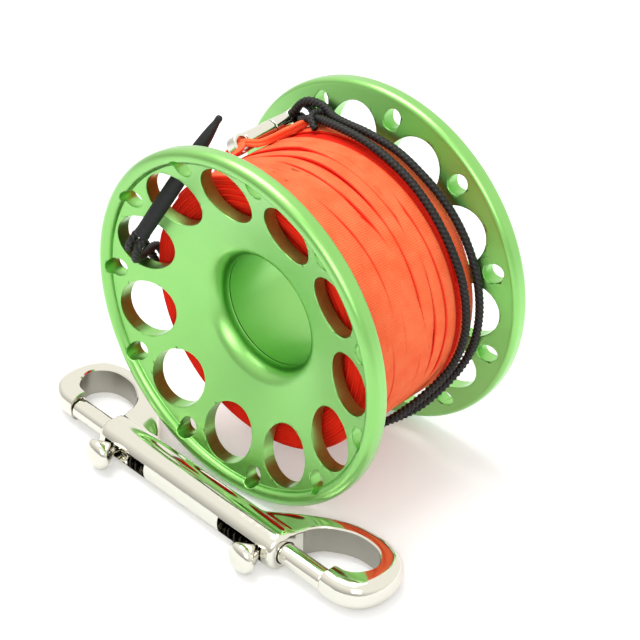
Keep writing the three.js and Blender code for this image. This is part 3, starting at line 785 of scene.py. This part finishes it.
# The cord is hitched to the swivel's eye: a second leg lies in the loop, and one turn, with its
# ends under the strands, holds them together where they leave it. Pulled tight, each run has its
# own share of the cord's thickness.
hitch_leg = [
    [127.0, 3.0, 45.6], [125.4, 4.0, 46.2], [122.4, 4.9, 46.2], [119.6, 4.6, 46.0], [117.4, 3.7, 45.4],
    [115.6, 2.7, 44.6], [113.0, 1.9, 43.6], [109.0, 1.5, 42.4], [105.0, 1.2, 41.4],
]
hitch_turn = [
    [104.5, 0.4, 44.6], [106.5, 1.5, 45.2], [109.0, 2.5, 44.8], [110.6, 3.0, 43.4], [110.6, 3.0, 41.6],
    [109.4, 2.5, 40.0], [107.6, 1.5, 39.0], [106.0, 0.4, 38.6],
]
braid = bmesh.new()
for route, share in ((cord_route, 1.08), (hitch_leg, 0.8), (hitch_turn, 0.95)):
    run = smooth_path([around(a, winding_r + above, y) for a, above, y in route], braid_step)
    add_braid(braid, run, cord_r * share)
    print("cord:", round(len(run) * braid_step), "mm")
leash = put_in_scene("leash", to_mesh(braid, 80), cord_finish, "spool", ["leash_cord"])
print("leash cord:", len(leash.data.polygons), "faces")

# %% [markdown]
# ## Toggle
# The toggle is one moulding: a plain rod with a slightly rolled lower edge, which narrows to a
# small round head. Its outline is spun, and the result is turned to lie through its two holes.

# %% Toggle
toggle_length = 34.6
toggle_r = 1.95
toggle_foot = Vector((-26.67, -3.56, 16.38))
toggle_up = Vector((0.281, 0.515, 0.809)).normalized()
toggle_shares = [
    (0.0, 0.004), (0.6, 0.0), (0.9, 0.004), (1.0, 0.016), (1.0, 0.03), (0.95, 0.042), (0.955, 0.08), (0.98, 0.2),
    (1.0, 0.4), (0.99, 0.55), (0.95, 0.66), (0.87, 0.75), (0.74, 0.83), (0.6, 0.89), (0.48, 0.93), (0.42, 0.95),
    (0.43, 0.965), (0.44, 0.978), (0.38, 0.992), (0.24, 0.999), (0.0, 1.0),
]


def turned_rod(outline, steps, place):
    """An open outline, spun round Y and then put in place."""
    bm = spun(outline, steps, closed=False)
    bmesh.ops.transform(bm, matrix=place, verts=bm.verts)
    return bm


toggle_lean = Vector((0, 1, 0)).rotation_difference(toggle_up)
toggle_place = Matrix.Translation(toggle_foot) @ toggle_lean.to_matrix().to_4x4()
toggle_outline = [(r * toggle_r, y * toggle_length) for r, y in toggle_shares]
put_in_scene("soft_toggle", to_mesh(turned_rod(toggle_outline, 48, toggle_place), 60), toggle_finish, "toggle",
             ["toggle"])

# %% [markdown]
# ## Bolt snap: the casting
# The snap is cast in one piece and polished: a tube with a hook on each end. The solids are put
# into one mesh, and a voxel remesh grows them together. A few smoothing passes then leave the soft
# hollows of a casting. The loops, bores and slots are cut after that, so their edges stay crisp.

# %% The snap's frame
snap_half, snap_reach, snap_thick = 58.5, 18.5, 7.5
tube_r, tube_half = 5.0, 32.3
snap_x, snap_y, snap_turn = -2.0, -12.4003, math.radians(-5)
snap_place = (to_row @ Matrix.Translation((snap_x, snap_y, tube_r - flange_r))
              @ Matrix.Rotation(snap_turn, 4, "Z"))


def rounded(shares, side, step=0.5):
    """A smooth run through shares of the snap's half length and reach, in millimetres."""
    return smooth_path([Vector((side * u * snap_half, w * snap_reach, 0)) for u, w in shares], step)


# %% Grow solids together, then cut them
def grown(bm, voxel, passes, *cutters):
    """One softened mesh from overlapping solids, with the cutters' shapes then cut from it.

    A cutter's face leaves its own material's number on the face that it cuts."""
    whole = temporary(bm, "casting")
    joined = whole.modifiers.new("grow together", "REMESH")
    joined.mode, joined.voxel_size = "VOXEL", voxel
    soft = whole.modifiers.new("soften", "SMOOTH")
    soft.factor, soft.iterations = 0.5, passes
    helpers = [temporary(cutter, "cutter") for cutter in cutters]
    for solid in (whole, *helpers):
        solid.data.materials.append(steel)
        solid.data.materials.append(cast_steel_and_shade)
    for helper in helpers:
        cut = whole.modifiers.new("cut", "BOOLEAN")
        cut.object, cut.operation, cut.solver = helper, "DIFFERENCE", "EXACT"
    return with_modifiers(whole, *helpers)


def add_bar(bm, radius, start, end, axis, sides=96):
    """Adds a round bar along X or Y."""
    turn = Matrix.Rotation(math.pi / 2, 4, "Y" if axis == "X" else "X")
    middle = (start + end) / 2
    shift = Matrix.Translation((middle, 0, 0) if axis == "X" else (0, middle, 0))
    add_round(bm, radius, abs(end - start), shift @ turn, sides)


# %% The hooks' plates
hook_back = [
    (0.2, 0.1), (0.27, 0.17), (0.34, 0.29), (0.42, 0.5), (0.53, 0.757), (0.62, 0.9), (0.7, 0.973), (0.82, 0.995),
    (0.923, 0.892), (0.975, 0.7), (0.998, 0.46), (0.993, 0.2), (0.957, 0.0), (0.88, -0.125), (0.775, -0.14),
]
hook_throat = [
    (0.775, 0.12), (0.846, 0.18), (0.878, 0.28), (0.893, 0.443), (0.88, 0.56), (0.835, 0.68), (0.76, 0.71),
    (0.694, 0.66), (0.62, 0.52), (0.572, 0.39), (0.547, 0.2), (0.52, -0.1), (0.2, -0.1),
]
hook_round = 3.1
same_place = 1e-6


def add_hook(bm, side):
    """Adds one hook: a plate whose outer edge is well rounded."""
    back = rounded(hook_back, side)
    points = back + rounded(hook_throat, side)
    low = [bm.verts.new((p.x, p.y, -snap_thick / 2)) for p in points]
    plate = bm.faces.new(low)
    lifted = bmesh.ops.extrude_face_region(bm, geom=[plate], use_keep_orig=True)["geom"]
    high = [v for v in lifted if isinstance(v, bmesh.types.BMVert)]
    bmesh.ops.translate(bm, verts=high, vec=(0, 0, snap_thick))
    bm.verts.index_update()
    outer = {(round(p.x, 4), round(p.y, 4)) for p in back}
    edges = [e for e in bm.edges if abs(e.verts[0].co.z - e.verts[1].co.z) < same_place
             and all((round(v.co.x, 4), round(v.co.y, 4)) in outer for v in e.verts)]
    bmesh.ops.bevel(bm, geom=edges, offset=hook_round, segments=6, profile=0.5, affect="EDGES",
                    clamp_overlap=False, material=-1)


casting = bmesh.new()
for side in (1, -1):
    add_hook(casting, side)
tube_round = 1.6
tube_end = arc(tube_r - tube_round, tube_half - tube_round, tube_round, 0, 90, 6)
tube_outline = [(0, -tube_half)] + [(r, -y) for r, y in reversed(tube_end)] + tube_end + [(0, tube_half)]


# %% [markdown]
# ## Bolt snap: what is cut from it
# Each loop is cut with a wall that stands square and a narrow chamfer at both faces. The wall stays
# as it was cast, rougher and a darker grey, partly as painted shade. A bore runs from the loop into
# the tube for the gate, and a slot lets the knob reach the gate inside.

# %% The cutters
throat = [
    (0.791, -0.6), (0.791, 0.146), (0.838, 0.157), (0.88, 0.249), (0.906, 0.443), (0.889, 0.595), (0.838, 0.72),
    (0.76, 0.751), (0.684, 0.703), (0.603, 0.551), (0.5665, 0.4), (0.5565, 0.3), (0.5545, 0.2), (0.5545, -0.6),
]
loop_chamfer = 0.35
beyond = 1.6
past_nose = 0.01
upright = 0.3
gate_r, gate_inner, gate_bore_end = 2.6, 24.0, 8.0
nose_face = 0.791 * snap_half
knob_at, gate_travel, stem_r, slot_play = 27.0, 11.0, 1.75, 0.45


def add_loop_cutter(bm, side):
    """Adds a loop's prism, which widens at 45 degrees past the snap's two faces."""
    corners = [Vector((side * u * snap_half, w * snap_reach, 0)) for u, w in (*throat[:2], throat[-1])]
    curve = corners[:2] + rounded(throat[1:-1], side, 0.4)[1:] + corners[2:]
    count = len(curve)
    turn = 1 if sum(a.x * b.y - b.x * a.y for a, b in zip(curve, curve[1:] + curve[:1])) > 0 else -1
    wider = []
    for i, here in enumerate(curve):
        along = (curve[(i + 1) % count] - curve[i - 1]).normalized()
        wider.append(here + Vector((along.y, -along.x, 0)) * turn)
    half = snap_thick / 2
    levels = [(-half - beyond, beyond + loop_chamfer), (-half + loop_chamfer, 0), (half - loop_chamfer, 0),
              (half + beyond, beyond + loop_chamfer)]
    rings = [[bm.verts.new((*a.lerp(b, wide).xy, z)) for a, b in zip(curve, wider)] for z, wide in levels]
    for lower, upper in zip(rings, rings[1:]):
        edges = []
        for ring in (lower, upper):
            for a, b in zip(ring, ring[1:] + ring[:1]):
                edges.append(bm.edges.get((a, b)) or bm.edges.new((a, b)))
        bmesh.ops.bridge_loops(bm, edges=edges)
    bm.faces.new(rings[0])
    bm.faces.new(rings[-1])


loops, bores, slots = bmesh.new(), bmesh.new(), bmesh.new()
slot_from, slot_to = knob_at - gate_travel - stem_r - slot_play, knob_at + stem_r + slot_play
for side in (1, -1):
    add_loop_cutter(loops, side)
    add_bar(bores, gate_r + fit, side * gate_bore_end, side * (nose_face + past_nose), "X", 72)
    size = Matrix.Diagonal((slot_to - slot_from, tube_r + 1, 2 * (stem_r + fit), 1))
    spot = Matrix.Translation((side * (slot_from + slot_to) / 2, -(tube_r + 1) / 2, 0))
    bmesh.ops.create_cube(slots, size=1, matrix=spot @ size)
for cutter in (loops, bores, slots):
    bmesh.ops.recalc_face_normals(cutter, faces=cutter.faces)
# Upright faces of the loop cutters mark the walls that take the darker steel, partly painted shade.
for face in loops.faces:
    face.material_index = 1 if abs(face.normal.z) < upright else 0

# %% Cast the snap
along_x = Matrix.Rotation(-math.pi / 2, 4, "Z")
casting_tube = turned_rod(tube_outline, 96, along_x)
tube_mesh = bpy.data.meshes.new("tube")
casting_tube.to_mesh(tube_mesh)
casting_tube.free()
casting.from_mesh(tube_mesh)
bpy.data.meshes.remove(tube_mesh)
bmesh.ops.recalc_face_normals(casting, faces=casting.faces)
casting_voxel, casting_passes = 0.36, 12
cast = grown(casting, casting_voxel, casting_passes, loops, bores, slots)
snap_mesh = from_mesh(cast, snap_place, 38)
put_in_scene("snap_casting", snap_mesh, steel, "snap", ["snap_body"])
snap_mesh.materials.append(cast_steel_and_shade)
print("faces as cast:", sum(1 for face in snap_mesh.polygons if face.material_index == 1))
print("snap casting:", len(snap_mesh.polygons), "faces")

# %% [markdown]
# ## Bolt snap: gates, knobs and springs
# A gate is a turned rod that closes its loop. Its knob is a turned mushroom riveted into it, with a
# bell-shaped neck. A coil spring behind the gate pushes it home.

# %% Gates and knobs
gate_tip, tip_round, flat_edge = nose_face - fit, 0.7, 0.3
gate_outline = [(0, gate_inner), (gate_r - flat_edge, gate_inner), (gate_r, gate_inner + flat_edge),
                *arc(gate_r - tip_round, gate_tip - tip_round, tip_round, 0, 90, 5), (0, gate_tip)]
knob_depth = 0.4
knob_seat, knob_rim, knob_rim_at, knob_reach = gate_r - knob_depth, 4.05, 8.7, 10.8
knob_outline = [
    (0, knob_seat), (stem_r, knob_seat), (stem_r, 4.6), (1.95, 5.0), (2.3, 5.6), (2.8, 6.4), (3.3, 7.2), (3.75, 8.0),
    (3.95, 8.35), (knob_rim, knob_rim_at), (3.95, 9.1), (3.7, 9.6), (3.2, 10.05), (2.45, 10.4), (1.55, 10.66),
    (0.8, 10.77), (0, knob_reach),
]


# %% A spring from a helix
def wire(path, radius, sides):
    """A plain round wire along a path."""
    bm = bmesh.new()
    rings = [[bm.verts.new(here + u * (radius * math.cos(2 * math.pi * j / sides))
                           + v * (radius * math.sin(2 * math.pi * j / sides))) for j in range(sides)]
             for here, _, u, v in frames_along(path)]
    skin(bm, rings)
    return bm


spring_r, wire_r, curls, curl_steps = 2.15, 0.25, 7, 28
spring_from, spring_to = gate_bore_end + fit + wire_r, gate_inner - fit - wire_r
helix = []
for i in range(curls * curl_steps + 1):
    a = 2 * math.pi * i / curl_steps
    rise = (spring_to - spring_from) * i / (curls * curl_steps)
    helix.append(Vector((spring_from + rise, spring_r * math.sin(a), spring_r * math.cos(a))))
for side, name in ((1, "right"), (-1, "left")):
    turned = snap_place @ Matrix.Rotation(0 if side > 0 else math.pi, 4, "Y")
    knob_turn = Matrix.Translation((knob_at, 0, 0)) @ Matrix.Rotation(math.pi, 4, "Z")
    put_in_scene(f"gate_rod_{name}", to_mesh(turned_rod(gate_outline, 72, along_x), 32, turned), steel,
                 f"gate_{name}", [f"snap_gate_{name}"])
    put_in_scene(f"knob_{name}", to_mesh(turned_rod(knob_outline, 72, knob_turn), 50, turned), steel,
                 f"gate_{name}", [f"snap_knob_{name}"])
    # The coil is painted dark, as painted shade inside the tube.
    coil = put_in_scene(f"coil_{name}", to_mesh(wire(helix, wire_r, 10), 60, turned), spring_in_painted_shade, "snap",
                        [f"snap_spring_{name}"])
    room = spring_to - spring_from + 2 * wire_r
    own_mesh(coil)

# %% [markdown]
# ## Swivel
# The swivel's two eyes are small polished castings on a headed pin. One eye holds the line and the
# other the cord, and the slot on the first shows where the pin's head turns.

# %% Swivel
swivel_angle, swivel_axis_r = 128, 38.1
swivel_place = (to_row @ Matrix.Translation(around(swivel_angle, swivel_axis_r, 0))
                @ Matrix.Rotation(math.radians(90 - swivel_angle), 4, "Y"))
swivel_r, eye_r, eye_half, seam = 2.3, 2.5, 1.65, 37.5
line_eye_y, line_eye_hole, cord_eye_y, cord_eye_hole = 26.4, 1.75, 44.6, 1.45
window_r, window_length, window_slot, end_wall = 1.75, 4.6, 1.3, 1.95
pin_r, head_r, head_thick, grip = 0.8, 1.3, 1.3, 2.35
eye_voxel, eye_passes, eye_drill = 0.13, 5, 8


def swivel_half(eye_y, hole, face, cutters):
    """One half of the swivel: a barrel from the seam to a flat eye, grown together, then cut."""
    sign = 1 if eye_y > face else -1
    bm = bmesh.new()
    add_bar(bm, swivel_r, face, eye_y - sign * hole, "Y")
    across = Matrix.Translation((0, eye_y, 0)) @ Matrix.Rotation(math.pi / 2, 4, "Y")
    add_round(bm, eye_r, 2 * eye_half, across, 72)
    hole_cutter = bmesh.new()
    add_round(hole_cutter, hole, eye_drill, across, 48)
    return grown(bm, eye_voxel, eye_passes, hole_cutter, *cutters)


room_to = seam - fit / 2 - end_wall
room, slot, shaft, shaft_hole = bmesh.new(), bmesh.new(), bmesh.new(), bmesh.new()
add_bar(room, window_r, room_to - window_length, room_to, "Y", 48)
bmesh.ops.create_cube(slot, size=1, matrix=Matrix.Translation((0, room_to - window_length / 2, 0))
                      @ Matrix.Diagonal((window_slot, window_length, 2 * swivel_r + 2, 1)))
add_bar(shaft, pin_r + fit, room_to - 0.5, seam + 1, "Y", 36)
add_bar(shaft_hole, pin_r + fit, seam - 1, seam + grip + fit, "Y", 36)
line_eye = swivel_half(line_eye_y, line_eye_hole, seam - fit / 2, [room, slot, shaft])
cord_eye = swivel_half(cord_eye_y, cord_eye_hole, seam + fit / 2, [shaft_hole])
put_in_scene("line_eye", from_mesh(line_eye, swivel_place, 40), steel, "spool",
             ["swivel_line_eye"])
put_in_scene("cord_eye", from_mesh(cord_eye, swivel_place, 40), steel, "swivel_end",
             ["swivel_cord_eye"])
head_to = seam - fit / 2 - end_wall - fit
head_top = head_to - head_thick
pin_outline = [(0, head_top), (head_r - flat_edge, head_top), (head_r, head_top + flat_edge), (head_r, head_to),
               (pin_r, head_to), (pin_r, seam + grip), (0, seam + grip)]
put_in_scene("swivel_pin", to_mesh(spun(pin_outline, 48, closed=False), 40, swivel_place), steel, "swivel_end",
             ["swivel_rivet"])
print("swivel: two eyes and a pin")

# %% [markdown]
# ## Floor, light and camera
# The spool stands on a white table in a soft tent of light. The table and the background are
# white to the camera, and the table keeps the soft shadow. Metal mirrors a tent that is darker low
# down and in front, and a table that only glows toward the back.

# %% Floor
def make_floor():
    material, tree, output = new_material("white table")
    diffuse = add(tree, "BsdfDiffuse", {"Color": linear("#F2F2F2")})
    glow = add(tree, "Emission", {"Color": (1, 1, 1, 1), "Strength": 0.22})
    bright = add(tree, "AddShader", {0: diffuse.outputs[0], 1: glow.outputs[0]})
    ray = add(tree, "LightPath").outputs
    place = add(tree, "SeparateXYZ", {"Vector": add(tree, "TexCoord").outputs["Object"]})
    toward_back = spread(tree, place.outputs["Y"], -0.12, 0.1, 0.0, 1.0)
    seen = calc(tree, "MAXIMUM", ray["Is Camera Ray"], ray["Is Transmission Ray"])
    seen = calc(tree, "MAXIMUM", seen, calc(tree, "MULTIPLY", ray["Is Glossy Ray"], toward_back))
    mixed = add(tree, "MixShader", {0: seen, 1: diffuse.outputs[0], 2: bright.outputs[0]})
    tree.links.new(mixed.outputs[0], output.inputs["Surface"])
    return material


table = bmesh.new()
bmesh.ops.create_grid(table, x_segments=1, y_segments=1, size=3.0)
floor_mesh = bpy.data.meshes.new("table")
table.to_mesh(floor_mesh)
table.free()
floor = bpy.data.objects.new("table", floor_mesh)
floor.data.materials.append(make_floor())
bpy.context.scene.collection.objects.link(floor)

# %% World and lamps
scene = bpy.context.scene
scene.view_settings.view_transform = "Standard"
world = bpy.data.worlds.new("tent")
world.use_nodes = True
scene.world = world
sky = world.node_tree
sky.nodes.clear()
ray = add(sky, "LightPath").outputs
direct = calc(sky, "MAXIMUM", ray["Is Camera Ray"], ray["Is Glossy Ray"])
direct = calc(sky, "MAXIMUM", direct, ray["Is Transmission Ray"])
fill = add(sky, "Background", {"Color": (1, 1, 1, 1), "Strength": 0.78})
white = add(sky, "Background", {"Color": (1, 1, 1, 1), "Strength": 1.0})
toward = add(sky, "SeparateXYZ", {"Vector": add(sky, "TexCoord").outputs["Generated"]})
high_or_far = calc(sky, "MULTIPLY_ADD", toward.outputs["Y"], 0.45, toward.outputs["Z"])
glow = spread(sky, high_or_far, -0.45, 0.4, 0.4, 1.15)
tent = add(sky, "Background", {"Color": linear("#FFFDF6"), "Strength": glow})
seen = add(sky, "MixShader", {0: ray["Is Glossy Ray"], 1: white.outputs[0], 2: tent.outputs[0]})
mixed = add(sky, "MixShader", {0: direct, 1: fill.outputs[0], 2: seen.outputs[0]})
add(sky, "OutputWorld", {"Surface": mixed.outputs[0]})


def softbox(name, place, target, size, watts):
    """A square area lamp that looks at a point."""
    lamp = bpy.data.lights.new(name, "AREA")
    lamp.size, lamp.energy = size, watts
    holder = bpy.data.objects.new(name, lamp)
    holder.location = place
    holder.rotation_euler = (Vector(target) - Vector(place)).to_track_quat("-Z", "Y").to_euler()
    scene.collection.objects.link(holder)


softbox("overhead", (-0.15, 0.0, 0.6), (0, 0, 0.03), 0.4, 2.4)
softbox("front right", (0.35, -0.45, 0.4), (0, 0, 0.03), 0.35, 1.3)

# %% Camera at the photograph's view
camera_at = Vector((277.38, -273.37, 251.20))
camera_elevation, camera_azimuth = 32.538, 42.492
camera = bpy.data.objects.new("camera", bpy.data.cameras.new("camera"))
camera.data.lens = 112.55
camera.data.sensor_width = 36
camera.location = to_row @ camera_at
camera.rotation_euler = (math.radians(90 - camera_elevation), 0, math.radians(camera_azimuth))
camera.data.clip_start, camera.data.clip_end = 0.01, 10
scene.collection.objects.link(camera)
scene.camera = camera
